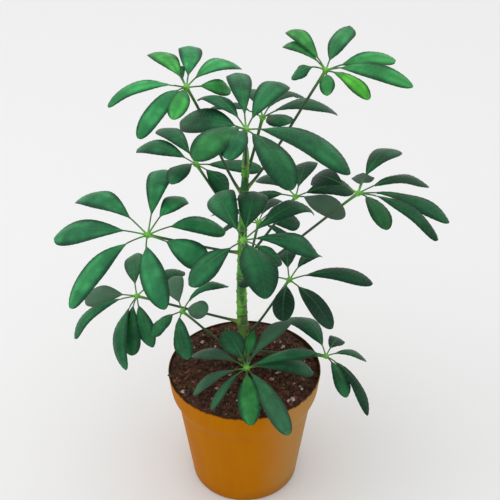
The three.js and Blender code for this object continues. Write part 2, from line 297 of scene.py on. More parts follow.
def pot_plastic():
    """Satin orange-brown plastic: faint flow streaks, a fine mould grain, handling scuffs, a paler
    right side that is painted sheen, peat dust that has stained the rim, and an inside wall darkened
    partly by peat stain and partly by painted shade."""
    finish = Finish("pot_plastic")
    right, _, up = finish.parts(finish.places)
    streaks = finish.cloud(1, 4, places=finish.stretched(90, 90, 12))
    blotches = finish.cloud(28, 3)
    finish.base(streaks, POT_DEEP, POT_ORANGE)
    finish.layer(finish.between(blotches, 0.45, 0.75, 0, 0.35), POT_BLOTCH)
    # Painted sheen: the right side is laid over with a paler tan
    sheen_reach = finish.sum("MULTIPLY_ADD", blotches, 0.012, right)
    finish.layer(finish.between(sheen_reach, *PAINTED_SHEEN_SIDE, 0, 0.75), POT_PAINTED_SHEEN)

    # Dark peat stain on the rim's top, and on the inside wall above the collar a darkening that is partly
    # stain and partly painted shade
    ragged = finish.sum("MULTIPLY_ADD", finish.cloud(160, 5, 0.7), 0.006, up)
    on_rim = finish.between(ragged, *(RIM_HEIGHT + over for over in STAINED_RIM), 0, 0.92)
    flat = finish.node("VectorMath")
    flat.operation = "LENGTH"
    finish.link(finish.stretched(1, 1, 0), flat.inputs[0])
    below_rim = finish.sum("SUBTRACT", up, RIM_HEIGHT)
    out_at_rim = finish.sum("MULTIPLY_ADD", below_rim, -collar_slope, flat.outputs["Value"])
    inside = finish.between(out_at_rim, *(RIM_RADIUS - inset for inset in STAIN_AND_SHADE_INSIDE), 0.94, 0)
    inside = finish.sum("MULTIPLY", inside, finish.between(up, collar_top, collar_top + 0.002))
    stain_and_shade = finish.sum("MAXIMUM", on_rim, inside)
    finish.layer(stain_and_shade, POT_STAIN_AND_SHADE)

    foot = finish.sum("MULTIPLY_ADD", blotches, -0.02, up)
    finish.layer(finish.between(foot, *DIRTY_FOOT, 0.3, 0), POT_DIRT)
    rubbed = finish.cloud(1, 8, 0.75, places=finish.stretched(350, 350, 60))
    scuffs = finish.between(rubbed, 0.6, 0.8)
    finish.layer(scuffs, POT_SCUFF, 0.12)
    roughness = finish.sum("MULTIPLY_ADD", blotches, 0.16, 0.38)
    roughness = finish.sum("MULTIPLY_ADD", scuffs, 0.15, roughness)
    roughness = finish.sum("MULTIPLY_ADD", stain_and_shade, 0.3, roughness)
    grain = finish.relief(finish.cloud(1600, 2), 0.00006, 0.5)
    normal = finish.relief(streaks, 0.0004, 0.25, under=grain)
    return finish.done(roughness, normal, gloss=0.02)


drill_skin = bmesh.new()
for turn in turns(DRAIN_HOLES):
    place = Matrix.Translation((*spoke(DRAIN_CIRCLE, turn), POT_FLOOR / 2))
    bmesh.ops.create_cone(drill_skin, cap_ends=True, segments=DRAIN_SIDES, radius1=DRAIN_RADIUS,
                          radius2=DRAIN_RADIUS, depth=POT_FLOOR * 3, matrix=place)

pot_mesh = turned_mesh("nursery_pot", rounded(POT_OUTLINE), POT_SIDES)
blank = bpy.data.objects.new("pot_blank", pot_mesh)
drill = bpy.data.objects.new("drain_drill", mesh_from(drill_skin, "drain_drill"))
for helper in (blank, drill):
    scene.collection.objects.link(helper)
cut = blank.modifiers.new("drain holes", "BOOLEAN")
cut.object = drill
cut.solver = "EXACT"
pierced = bpy.data.meshes.new_from_object(blank.evaluated_get(bpy.context.evaluated_depsgraph_get()))
for helper in (blank, drill):
    bpy.data.objects.remove(helper)
pierced.name = "nursery_pot"
smooth(pierced, 40)
pierced.materials.clear()
pierced.materials.append(pot_plastic())
put("nursery_pot", pierced, "pot_plastic", "pot")

# ---- Potting soil ----
# A plug of dark peat that fills the pot to its rim and is heaped a little round the stem. Its
# open top is rough, with loose crumbs, bark chips and grains of white perlite lying on it.

SOIL_EDGE = RIM_HEIGHT - 0.001
SOIL_CROWN = 0.005
SOIL_CROWN_RADIUS = 0.036
SOIL_RADIUS = RIM_RADIUS - POT_WALL - 0.0006
SOIL_GAP = 0.0004  # between the plug and the pot's wall, under the rim
SOIL_BOTTOM = POT_FLOOR + 0.0003
SOIL_RINGS = 74
SOIL_SIDES = 240
SOIL_LOW_SIDE = 0.0025  # the soil has sunk this far from the rim on the right
STEM_CLEAR = 0.0035  # the soil's skin goes in under the stem to this radius
CLOD_HEIGHT = 0.0016
CLOD_SCALE = 95
GRIT_HEIGHT = 0.0005
GRIT_SCALE = 700
EDGE_CALM = 0.6  # how much flatter the clods lie where they meet the pot

CRUMBS = 2300
CRUMB_SIZES = (0.0004, 0.0012)
CRUMBS_FROM_EDGE = 0.0012
LUMPS = 170
LUMP_SIZES = (0.0013, 0.0030)
LUMPS_FROM_EDGE = 0.003
CHIPS = 90
CHIP_SIZES = (0.0014, 0.0036)
CHIPS_FROM_EDGE = 0.004
PERLITE_GRAINS = 60
PERLITE_SIZES = (0.0005, 0.0012)
# Larger grains of perlite that lie in the open, as (x, y, radius)
OPEN_PERLITE = [
    (-0.0506, -0.0313, 0.0020), (-0.0225, -0.0325, 0.0013), (-0.0121, -0.0163, 0.0012),
    (0.0230, -0.0226, 0.0018), (0.0274, -0.0137, 0.0016), (0.0334, 0.0207, 0.0019),
    (0.0398, -0.0410, 0.0024), (0.0365, -0.0425, 0.0017), (-0.0370, 0.0270, 0.0016),
]
# A few crumbs that have spilled on the rim and been left there, as (turn in degrees, radius)
SPILLED_CRUMBS = [
    (191, 0.0016), (187, 0.0009), (150, 0.0010), (62, 0.0011), (318, 0.0009), (335, 0.0012),
]

PEAT_BLACK = (0.02, 0.011, 0.006)
PEAT_BROWN = (0.12, 0.055, 0.032)
PEAT_MOSS = (0.06, 0.04, 0.012)
PEAT_RUST = (0.15, 0.034, 0.036)
# Near-black patches of painted shade
PEAT_PAINTED_SHADE = (0.01, 0.006, 0.004)
PEAT_FIBRE = (0.16, 0.085, 0.04)
PEAT_SPECK = (0.24, 0.15, 0.09)
CRUMB_DARK = (0.028, 0.013, 0.009)
CRUMB_BROWN = (0.17, 0.066, 0.042)
CRUMB_RUST = (0.18, 0.055, 0.042)
CRUMB_STRAW = (0.24, 0.17, 0.06)
BARK_DARK = (0.045, 0.02, 0.01)
BARK_DRY = (0.19, 0.1, 0.055)
PERLITE_STAINED = (0.3, 0.17, 0.13)
PERLITE_WHITE = (0.62, 0.5, 0.45)


def soil_height(x, y):
    """How high the peat stands at a place."""
    radius = math.hypot(x, y)
    share = min(max((radius - SOIL_CROWN_RADIUS) / (SOIL_RADIUS - SOIL_CROWN_RADIUS), 0), 1)
    heap = SOIL_EDGE + SOIL_CROWN * (1 - share * share * (3 - 2 * share))
    sunk = SOIL_LOW_SIDE * share ** 3 * max(x / max(radius, 1e-6), 0) ** 2
    clods = CLOD_HEIGHT * noise.fractal(Vector((x, y, 0)) * CLOD_SCALE, 0.9, 2.1, 4)
    grit = GRIT_HEIGHT * noise.noise(Vector((x, y, 0.5)) * GRIT_SCALE)
    return heap - sunk + (clods + grit) * (1 - EDGE_CALM * share ** 6)


def peat():
    """Damp peat: near-black to reddish brown from clod to clod, with near-black patches of painted shade,
    dry pale fibres and no gloss.
    """
    finish = Finish("peat")
    clods = finish.cloud(110, 6, 0.65)
    finish.base(finish.between(clods, 0.32, 0.68), PEAT_BLACK, PEAT_BROWN)
    finish.layer(finish.between(finish.cloud(26, 2), 0.5, 0.62, 0, 0.6), PEAT_MOSS)
    finish.layer(finish.between(finish.cloud(45, 3), 0.52, 0.7), PEAT_RUST, 0.7)
    # Painted shade: near-black patches laid over the peat
    finish.layer(finish.between(finish.cloud(135, 4, 0.6), 0.36, 0.5, 0.75, 0), PEAT_PAINTED_SHADE)
    fibres = finish.cloud(1, 2, places=finish.stretched(900, 260, 400))
    finish.layer(finish.between(fibres, 0.64, 0.72), PEAT_FIBRE, 0.6)
    finish.layer(finish.between(finish.cells(900), 0.1, 0.22, 1, 0), PEAT_SPECK, 0.35)
    rough = finish.relief(finish.cloud(420, 6, 0.7), 0.0009, 0.9)
    normal = finish.relief(clods, 0.0012, 0.6, under=rough)
    return finish.done(finish.between(clods, 0.3, 0.7, 0.82, 0.98), normal, gloss=0.25)


soil_skin = bmesh.new()
soil_rings = []
for ring in range(SOIL_RINGS + 1):
    radius = STEM_CLEAR + (SOIL_RADIUS - STEM_CLEAR) * ring / SOIL_RINGS
    flat = [spoke(radius, turn) for turn in turns(SOIL_SIDES)]
    soil_rings.append([soil_skin.verts.new((x, y, soil_height(x, y))) for x, y in flat])
pot_walls = ((COLLAR_FOOT_RADIUS, collar_top), (BODY_TOP_RADIUS, collar_foot), (BASE_RADIUS, SOIL_BOTTOM))
for wall, height in pot_walls:
    radius = wall - POT_WALL - SOIL_GAP
    soil_rings.append([soil_skin.verts.new((*spoke(radius, turn), height)) for turn in turns(SOIL_SIDES)])
for lower, upper in zip(soil_rings, soil_rings[1:]):
    for side in range(SOIL_SIDES):
        after = (side + 1) % SOIL_SIDES
        soil_skin.faces.new((lower[side], upper[side], upper[after], lower[after]))
soil_skin.faces.new(soil_rings[0])
soil_skin.faces.new(soil_rings[-1])
bmesh.ops.recalc_face_normals(soil_skin, faces=soil_skin.faces)
soil_mesh = mesh_from(soil_skin, "potting_soil")
smooth(soil_mesh, 60)
soil_mesh.materials.append(peat())
put("potting_soil", soil_mesh, "potting_soil", "soil")


def scatter(name, grains, detail, raggedness):
    """One mesh of loose grains. Each grain is (place, radius, (length, width, height) shares)."""
    shape = bmesh.new()
    bmesh.ops.create_icosphere(shape, subdivisions=detail, radius=1.0)
    knobs = [vert.co.copy() for vert in shape.verts]
    sides = [[vert.index for vert in face.verts] for face in shape.faces]
    shape.free()
    points, faces = [], []
    for place, size, shares in grains:
        spin = Matrix.Rotation(draw.uniform(0, math.tau), 3, "Z")
        spin = spin @ Matrix.Rotation(draw.gauss(0, 0.35), 3, "X")
        seed = Vector([draw.uniform(0, 90) for _ in range(3)])
        first = len(points)
        for knob in knobs:
            reach = size * (1 + raggedness * noise.noise(knob * 1.6 + seed))
            points.append(place + spin @ Vector([k * s * reach for k, s in zip(knob, shares)]))
        faces += [[first + corner for corner in side] for side in sides]
    mesh = bpy.data.meshes.new(name)
    mesh.from_pydata(points, [], faces)
    return mesh


def on_soil(size, from_edge):
    """A random place on the peat for a grain of that size, part sunk in it, clear of the stem and
    of the soil's edge."""
    turn = draw.uniform(0, math.tau)
    radius = math.sqrt(draw.uniform((2 * STEM_CLEAR) ** 2, (SOIL_RADIUS - from_edge) ** 2))
    x, y = spoke(radius, turn)
    return Vector((x, y, soil_height(x, y) + 0.25 * size))


draw = random.Random(7)
crumbs = []
for _ in range(CRUMBS):
    size = draw.uniform(*CRUMB_SIZES)
    crumbs.append((on_soil(size, CRUMBS_FROM_EDGE), size, (1, draw.uniform(0.6, 1), draw.uniform(0.5, 0.9))))
lumps = []
for _ in range(LUMPS):
    size = draw.uniform(*LUMP_SIZES)
    lumps.append((on_soil(size, LUMPS_FROM_EDGE), size, (1, draw.uniform(0.7, 1), draw.uniform(0.5, 0.8))))
for turn_degrees, size in SPILLED_CRUMBS:
    x, y = spoke(RIM_RADIUS - POT_WALL * 0.6, math.radians(turn_degrees))
    lumps.append((Vector((x, y, RIM_HEIGHT + 0.3 * size)), size, (1, 0.8, 0.7)))
chips = []
for _ in range(CHIPS):
    size = draw.uniform(*CHIP_SIZES)
    chips.append((on_soil(size * 0.5, CHIPS_FROM_EDGE), size, (1, draw.uniform(0.2, 0.45), 0.16)))


def crumb_peat():
    """Loose crumbs of the same peat, drier and a little redder, with specks of straw."""
    finish = Finish("crumb_peat")
    tone = finish.cloud(240, 2)
    finish.base(finish.between(tone, 0.35, 0.65), CRUMB_DARK, CRUMB_BROWN)
    finish.layer(finish.between(finish.cloud(60, 2), 0.5, 0.66), CRUMB_RUST, 0.5)
    finish.layer(finish.between(finish.cloud(310, 1), 0.64, 0.7, 0, 0.7), CRUMB_STRAW)
    rough = finish.relief(finish.cloud(1300, 5, 0.7), 0.0004, 0.9)
    return finish.done(finish.between(tone, 0.3, 0.7, 0.85, 0.98), rough, gloss=0.2)


def bark_chip():
    """Chips of composted bark: fibrous along the chip, dark where damp and pale where dry."""
    finish = Finish("bark_chip")
    finish.base(finish.between(finish.cloud(150, 3), 0.35, 0.65), BARK_DARK, BARK_DRY)
    fibre = finish.cloud(1, 3, places=finish.stretched(1500, 500, 700))
    return finish.done(0.9, finish.relief(fibre, 0.0003, 0.8), gloss=0.2)


def perlite():
    """Expanded volcanic glass: chalky white with a pink-brown stain from the damp peat."""
    finish = Finish("perlite")
    stained = finish.between(finish.cloud(500, 4, 0.6), 0.35, 0.62)
    finish.base(stained, PERLITE_STAINED, PERLITE_WHITE)
    return finish.done(0.9, finish.relief(finish.cells(2200), 0.0003, 0.8), gloss=0.3)


grains = []
for x, y, size in OPEN_PERLITE:
    grains.append((Vector((x, y, soil_height(x, y) + 0.4 * size)), size, (1, 0.8, 0.7)))
for _ in range(PERLITE_GRAINS):
    size = draw.uniform(*PERLITE_SIZES)
    grains.append((on_soil(size, LUMPS_FROM_EDGE), size, (1, draw.uniform(0.7, 1), 0.8)))
for name, kinds, detail, raggedness, finish in (
    ("peat_crumbs", crumbs, 1, 0.9, crumb_peat()),
    ("peat_lumps", lumps, 3, 0.9, crumb_peat()),
    ("bark_chips", chips, 2, 0.6, bark_chip()),
    ("perlite_grains", grains, 3, 0.7, perlite()),
):
    mesh = scatter(name, kinds, detail, raggedness)
    smooth(mesh, 50)
    mesh.materials.append(finish)
    put(name, mesh, "potting_soil")

# ---- Stem ----
# One upright stem that stands in the soil, green and smooth where young and corky at its foot.
# Each fallen or living leaf leaves a raised ring round it, and it ends in a pointed bud.

stem_low, stem_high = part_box("stem")
STEM_BOTTOM = stem_low.z
STEM_TOP = stem_high.z
STEM_FOOT_RADIUS = 0.005
STEM_TOP_RADIUS = 0.0024
BUD_LENGTH = 0.014
BUD_TIP_RADIUS = 0.0007
STEM_SIDES = 40
STEM_RINGS = 420
STEM_LINE = [
    Vector((0.000, 0.000, STEM_BOTTOM)), Vector((0.000, 0.000, RIM_HEIGHT + 0.010)),
    Vector((-0.002, 0.000, 0.185)), Vector((-0.001, 0.000, 0.250)),
    Vector((0.001, -0.004, 0.300)), Vector((0.002, -0.008, STEM_TOP)),
]
# Heights of the leaf rings, most of them under a living leaf
STEM_NODES = [
    0.124, 0.132, 0.141, 0.150, 0.162, 0.172, 0.183, 0.192, 0.205, 0.209, 0.222, 0.231,
    0.240, 0.252, 0.268, 0.285, 0.290, 0.302, 0.312,
]
NODE_SWELL = 0.00055
NODE_SPREAD = 0.0011
NODE_SLANT = 0.0012  # no leaf ring is quite level
NODE_SLANT_TURN = 400  # and each slants another way
CREASE_DROP = 0.0019  # below each ring
CREASE_DEPTH = 0.00020
CREASE_SPREAD = 0.0006
BARK_BUMPS = 0.00022
BARK_FURROWS = 0.00014

BARK_GREEN = (0.012, 0.108, 0.019)
BARK_BRIGHT = (0.13, 0.48, 0.033)
BARK_CORK = (0.13, 0.1, 0.045)
BARK_WART = (0.24, 0.22, 0.11)
BARK_RING = (0.2, 0.34, 0.07)
BARK_CREASE = (0.03, 0.028, 0.012)


def stem_point(height):
    """The middle of the stem at a height."""
    for start, (low, high) in enumerate(zip(STEM_LINE, STEM_LINE[1:])):
        if height <= high.z or high is STEM_LINE[-1]:
            break
    before = STEM_LINE[max(start - 1, 0)]
    beyond = STEM_LINE[min(start + 2, len(STEM_LINE) - 1)]
    share = (height - low.z) / (high.z - low.z)
    reach = high.z - low.z
    lead_in = (high - before) * reach / (high.z - before.z)
    lead_out = (beyond - low) * reach / (beyond.z - low.z)
    square, cube = share ** 2, share ** 3
    point = (low * (2 * cube - 3 * square + 1) + lead_in * (cube - 2 * square + share)
             + high * (3 * square - 2 * cube) + lead_out * (cube - square))
    return Vector((point.x, point.y, height))


def stem_radius(height):
    """The stem's radius at a height, without its rings."""
    share = max((height - RIM_HEIGHT) / (STEM_TOP - RIM_HEIGHT), 0)
    radius = STEM_FOOT_RADIUS + (STEM_TOP_RADIUS - STEM_FOOT_RADIUS) * share
    bud = max(height - (STEM_TOP - BUD_LENGTH), 0) / BUD_LENGTH
    return radius + (BUD_TIP_RADIUS - radius) * bud ** 2


def green_bark():
    """Young bark: bright and dark green patches, brown cork toward the foot, small corky warts, and
    a pale ring with a dark crease under it where each leaf grew."""
    finish = Finish("green_bark")
    ring, crease, age = finish.carried("bark")
    patches = finish.cloud(1, 3, places=finish.stretched(110, 110, 45))
    finish.base(finish.between(patches, 0.38, 0.62), BARK_GREEN, BARK_BRIGHT)
    cork = finish.cloud(1, 5, 0.7, places=finish.stretched(420, 420, 70))
    corky = finish.sum("ADD", age, finish.sum("MULTIPLY", cork, 0.5))
    finish.layer(finish.between(corky, 0.85, 1.25, 0, 0.8), BARK_CORK)
    warts = finish.cells(1, places=finish.stretched(520, 520, 260))
    warts = finish.between(warts, 0.12, 0.26, 1, 0)
    finish.layer(warts, BARK_WART, 0.5)
    finish.layer(finish.between(ring, 0.3, 1, 0, 0.5), BARK_RING)
    finish.layer(finish.between(crease, 0.2, 1, 0, 0.75), BARK_CREASE)
    normal = finish.relief(warts, 0.0004, 0.7, under=finish.relief(cork, 0.0006, 0.6))
    return finish.done(finish.between(cork, 0.3, 0.7, 0.42, 0.68), normal, gloss=0.4)


def at_nodes(height, spread):
    """How near a height is to the leaf rings: 1 on a ring, and soon 0 away from it."""
    return sum(math.exp(-((height - node) / spread) ** 2) for node in STEM_NODES)


stem_skin = bmesh.new()
bark_values = []
stem_rings = []
for ring in range(STEM_RINGS + 1):
    height = STEM_BOTTOM + (STEM_TOP - STEM_BOTTOM) * ring / STEM_RINGS
    middle = stem_point(height)
    fade = min((STEM_TOP - height) / BUD_LENGTH, 1)
    age = 1 - max(height - RIM_HEIGHT, 0) / (STEM_TOP - RIM_HEIGHT)
    around = []
    for turn in turns(STEM_SIDES):
        slanted = height + NODE_SLANT * math.sin(turn + height * NODE_SLANT_TURN)
        swell = at_nodes(slanted, NODE_SPREAD)
        crease = at_nodes(slanted + CREASE_DROP, CREASE_SPREAD)
        bumps = noise.noise(Vector((*spoke(1, turn), height * 60)) * 1.7)
        furrows = noise.noise(Vector((*spoke(5, turn), height * 40)))
        radius = stem_radius(height) + fade * (
            NODE_SWELL * swell - CREASE_DEPTH * crease + BARK_BUMPS * bumps + BARK_FURROWS * furrows)
        around.append(stem_skin.verts.new(middle + Vector((*spoke(radius, turn), 0))))
        bark_values += [min(swell, 1), min(crease, 1), age]
    stem_rings.append(around)
span(stem_skin, stem_rings, STEM_SIDES)
stem_skin.faces.new(reversed(stem_rings[0]))
stem_skin.faces.new(stem_rings[-1])
stem_mesh = mesh_from(stem_skin, "green_stem")
stem_mesh.attributes.new("bark", "FLOAT_VECTOR", "POINT").data.foreach_set("vector", bark_values)
smooth(stem_mesh, 70)
stem_mesh.materials.append(green_bark())
put("green_stem", stem_mesh, "green_stem", "stem")

# ---- Compound leaves ----
# Each leaf is a long thin petiole from the stem to a knuckle, where five to ten leathery
# leaflets spread on short stalks of their own. The blades are satin dark green above, pale and
# matt below, with a grooved midrib, a soft crown on each half and a margin that waves a little.

PETIOLE_RADIUS = 0.0011
PETIOLE_FOOT_RADIUS = 0.0024
PETIOLE_FOOT_PLACE = 0.55  # out from the middle of the stem, of the stem's radius
PETIOLE_FOOT_SPREAD = 0.0055  # the foot narrows over this length
PETIOLE_END_SWELL = 0.0007
PETIOLE_END_SPREAD = 0.0035
PETIOLE_SWEEP = 0.06  # how far it leaves the stem outwards first, of its length
PETIOLE_STEER = (0.2, 0.65)  # where along it its curve is steered
PETIOLE_FLAT = 0.92
PETIOLE_SIDES = 14
PETIOLE_RINGS = 46
HUB_RADIUS = 0.0026
HUB_SIDES = 16
STALK_RADIUS = 0.0005
STALK_SIDES = 10
SHORT_STEPS = 8  # along a knuckle or a leaflet's stalk
BLADE_RINGS = 36
BLADE_COLUMNS = [
    -1, -0.93, -0.8, -0.62, -0.42, -0.24, -0.11, -0.04, 0, 0.04, 0.11, 0.24, 0.42, 0.62, 0.8, 0.93, 1,
]
BLADE_THICKNESS = 0.0005
BLADE_BOW = 0.16
BLADE_CROWDING = 1.35  # the power that crowds a blade's rings toward its tip
BLADE_SHOULDER = 0.95  # the power by which a blade widens from its stalk
MARGIN_DROP = 0.1  # how far the margins hang below the middle, of the blade's width
RIB_DEPTH = 0.0005
RIB_SPREAD = 0.0006
VEIN_SLANT = 0.62  # how far a side vein runs on toward the tip for each step aside
VEIN_GAP = 2.1  # millimetres from one side vein to the valley beside it
VEIN_HEIGHT = 0.00012
UPPER, UNDER, STALK = range(3)
PLAIN_YOUTH = 0.05
# How each leaflet may differ from the others
TWISTS = (-9, 9)  # degrees
SWAYS = (-0.02, 0.02)  # of its reach
DROOPS = (0.0, 0.9)
WAVES = (0.0002, 0.0008)
BLUNTNESSES = (0.47, 0.62)
TONES = (-0.12, 0.12)

# The dark and bright ends of a leaf's tone, which stands for its age and for painted shade
LEAF_OLD_AND_SHADED = (0.0042, 0.025, 0.015)
LEAF_FRESH_AND_LIT = (0.031, 0.274, 0.098)
LEAF_YOUNG = (0.06, 0.36, 0.03)
# A grey-green painted sheen, laid on where youth is below 0
LEAF_PAINTED_SHEEN = (0.095, 0.15, 0.11)
# Painted shade at the margins and at the blade's base
LEAF_MARGIN_SHADE = (0.003, 0.027, 0.014)
LEAF_VEIN = (0.03, 0.24, 0.06)
LEAF_NET = (0.04, 0.26, 0.065)
LEAF_RIB = (0.042, 0.23, 0.05)
UNDER_OLD = (0.05, 0.15, 0.068)
UNDER_YOUNG = (0.14, 0.36, 0.09)
UNDER_BLOTCH = (0.085, 0.2, 0.1)
UNDER_VEIN = (0.2, 0.36, 0.14)
STALK_FOOT = (0.19, 0.33, 0.045)
STALK_DARK = (0.018, 0.065, 0.018)
STALK_END = (0.04, 0.16, 0.03)
STALK_BRIGHT = (0.15, 0.48, 0.045)
STALK_BROWN = (0.12, 0.1, 0.04)
# What the blotches and the painted sheen band multiply the blade's colour by
BLOTCH_SHADES = ((0.66, 0.7, 0.74), (1.45, 1.36, 1.25))
SHEEN_BAND_LIGHT = (1.7, 1.45, 1.5)


def direction(bearing, rise):
    """One step that way, from degrees anticlockwise from the right and degrees above level."""
    lift = math.radians(rise)
    return Vector((*spoke(math.cos(lift), math.radians(bearing)), math.sin(lift)))


class Growth:
    """The skin of one leaf as it grows: points with what they carry, and faces with their finish."""

    def __init__(self):
        self.points, self.faces, self.skins = [], [], []
        self.places, self.moods = [], []

    def loft(self, rings, places, skin_of=lambda side: STALK, mood=(0, 0, 0)):
        """Adds a closed skin over rings of points. Each ring has one place for each point."""
        first, around = len(self.points), len(rings[0])
        for ring, ring_places in zip(rings, places):
            self.points += ring
            self.places += ring_places
            self.moods += [mood] * around
        for row in range(len(rings) - 1):
            for side in range(around):
                after = (side + 1) % around
                low, high = first + row * around, first + (row + 1) * around
                self.faces.append((low + side, low + after, high + after, high + side))
                self.skins.append(skin_of(side))
        for row in (0, len(rings) - 1):
            self.faces.append([first + row * around + side for side in range(around)])
            self.skins.append(skin_of(0))

    def mesh(self, name, finishes):
        mesh = bpy.data.meshes.new(name)
        mesh.from_pydata(self.points, [], self.faces)
        mesh.polygons.foreach_set("material_index", self.skins)
        for label, values in (("place", self.places), ("mood", self.moods)):
            carried = mesh.attributes.new(label, "FLOAT_VECTOR", "POINT")
            carried.data.foreach_set("vector", [part for value in values for part in value])
        skin = bmesh.new()
        skin.from_mesh(mesh)
        bmesh.ops.recalc_face_normals(skin, faces=skin.faces)
        for edge in skin.edges:
            edge.smooth = len({face.material_index for face in edge.link_faces}) == 1
        for face in skin.faces:
            face.smooth = True
        skin.to_mesh(mesh)
        skin.free()
        for finish in finishes:
            mesh.materials.append(finish)
        return mesh


def blade_upper():
    """The upper side: a dark green waxy skin whose tone, dark to bright, stands for the leaf's age
    and for painted shade, yellower in young leaflets, with a painted grey sheen where youth is
    below 0, a painted sheen band along each half, painted shade toward the margin and the base,
    a pale midrib, faint side veins that curve to the tip and a fine net between them."""
    finish = Finish("blade_upper")
    offset, along, column = finish.carried("place")
    youth_and_sheen, age_and_shade, seed = finish.carried("mood")
    # Dark to bright by the leaf's tone: leaf age and painted shade together
    finish.base(age_and_shade, LEAF_OLD_AND_SHADED, LEAF_FRESH_AND_LIT)
    finish.layer(finish.between(youth_and_sheen, 0, 1), LEAF_YOUNG)
    blotches = finish.cloud(46, 3, 0.6)
    patchy = finish.mixed(finish.between(blotches, 0.32, 0.68), *BLOTCH_SHADES)
    finish.layer(1, patchy, kind="MULTIPLY")
    # Painted sheen: a lighter band along the middle of each half
    sheen_band = finish.between(column, 0.42, 0.8, 1, 0)
    sheen_band = finish.sum("MULTIPLY", finish.between(column, 0.08, 0.42), sheen_band)
    sheen_band = finish.sum("MULTIPLY", sheen_band, finish.between(blotches, 0.4, 0.62, 0.15, 1))
    finish.layer(sheen_band, SHEEN_BAND_LIGHT, 0.6, "MULTIPLY")
    # Painted shade: darker toward the margins and over the first 11 mm of the blade
    margin_shade = finish.sum("MULTIPLY_ADD", blotches, -0.3, column)
    margin_shade = finish.between(margin_shade, 0.38, 0.82, 0, 0.85)
    margin_shade = finish.sum("MAXIMUM", margin_shade, finish.between(along, 0, 11, 0.6, 0))
    finish.layer(margin_shade, LEAF_MARGIN_SHADE)

    aside = finish.sum("ABSOLUTE", offset)
    lane = finish.sum("MULTIPLY_ADD", aside, -VEIN_SLANT, along)
    lane = finish.sum("MULTIPLY_ADD", finish.cloud(260, 2), 1.1, lane)
    wave = finish.sum("PINGPONG", finish.sum("ADD", lane, seed), VEIN_GAP)
    finish.layer(finish.between(wave, 0, 0.42, 1, 0), LEAF_VEIN, 0.15)
    net = finish.between(finish.cells(1250, "DISTANCE_TO_EDGE"), 0, 0.1, 1, 0)
    finish.layer(net, LEAF_NET, 0.08)
    rib = finish.sum("DIVIDE", aside, finish.between(along, 0, 55, 0.7, 0.22))
    rib = finish.between(rib, 0.55, 1.25, 1, 0)
    rib = finish.sum("MULTIPLY", rib, finish.between(along, 0, 30, 0.55, 0.18))
    finish.layer(rib, LEAF_RIB)
    # Painted grey sheen where youth is below 0, which is also made rougher
    painted_sheen = finish.between(youth_and_sheen, 0, -1, 0, 0.75)
    finish.layer(painted_sheen, LEAF_PAINTED_SHEEN)

    roughness = finish.sum("MULTIPLY_ADD", blotches, 0.16, 0.28)
    roughness = finish.sum("MULTIPLY_ADD", painted_sheen, 0.2, roughness)
    quilt = finish.sum("POWER", finish.sum("DIVIDE", wave, VEIN_GAP), 0.6)
    quilt = finish.relief(quilt, 0.00026, 0.4)
    grain = finish.sum("SUBTRACT", finish.cloud(900, 3), net)
    normal = finish.relief(grain, 0.0001, 0.35, under=quilt)
    return finish.done(roughness, normal, gloss=0.12)


def blade_under():
    """The underside: matt and pale grey-green, with its veins standing out lighter."""
    finish = Finish("blade_under")
    offset, along, _ = finish.carried("place")
    youth_and_sheen, _, seed = finish.carried("mood")
    finish.base(finish.between(youth_and_sheen, 0, 1), UNDER_OLD, UNDER_YOUNG)
    finish.layer(finish.between(finish.cloud(80, 3), 0.35, 0.7, 0, 0.3), UNDER_BLOTCH)
    aside = finish.sum("ABSOLUTE", offset)
    lane = finish.sum("ADD", finish.sum("MULTIPLY_ADD", aside, -VEIN_SLANT, along), seed)
    side_vein = finish.between(finish.sum("PINGPONG", lane, VEIN_GAP), 0, 0.45, 1, 0)
    rib = finish.between(aside, 0.5, 1.2, 1, 0)
    veins = finish.sum("MAXIMUM", rib, finish.sum("MULTIPLY", side_vein, 0.5))
    finish.layer(veins, UNDER_VEIN, 0.6)
    net = finish.relief(finish.cells(1250, "DISTANCE_TO_EDGE"), 0.00012, 0.4)
    return finish.done(0.62, finish.relief(veins, 0.0003, 0.6, under=net), gloss=0.35)


def stalk_green():
    """Petioles, stalks and knuckles: yellow-green at the petiole's foot, dark green along it, and
    bright in the knuckle and the leaflets' stalks, with brown flecks and fine grooves."""
    finish = Finish("stalk_green")
    ripeness, knuckle, _ = finish.carried("place")
    finish.base(finish.between(ripeness, 0, 0.16), STALK_FOOT, STALK_DARK)
    finish.layer(finish.between(ripeness, 0.8, 1), STALK_END)
    finish.layer(knuckle, STALK_BRIGHT)
    finish.layer(finish.between(finish.cloud(330, 4), 0.55, 0.75, 0, 0.4), STALK_BROWN)
    grooves = finish.cloud(1, 3, places=finish.stretched(1400, 1400, 300))
    return finish.done(0.42, finish.relief(grooves, 0.00018, 0.5), gloss=0.45)


LEAF_FINISHES = [blade_upper(), blade_under(), stalk_green()]


def tube_rings(points, radius_at, sides, flat=1.0):
    """Rings of points round a line. flat squashes them toward the line's own level."""
    rings, across = [], None
    for index, point in enumerate(points):
        ahead = points[min(index + 1, len(points) - 1)] - points[max(index - 1, 0)]
        ahead.normalize()
        if across is None:
            across = ahead.cross(Vector((0, 0, 1)))
            if across.length < 0.1:
                across = ahead.cross(Vector((0, 1, 0)))
        across = (across - ahead * across.dot(ahead)).normalized()
        over = across.cross(ahead)
        radius = radius_at(index / (len(points) - 1))
        ring = []
        for turn in turns(sides):
            aside, above = spoke(radius, turn)
            ring.append(point + across * aside + over * (above * flat))
        rings.append(ring)
    return rings


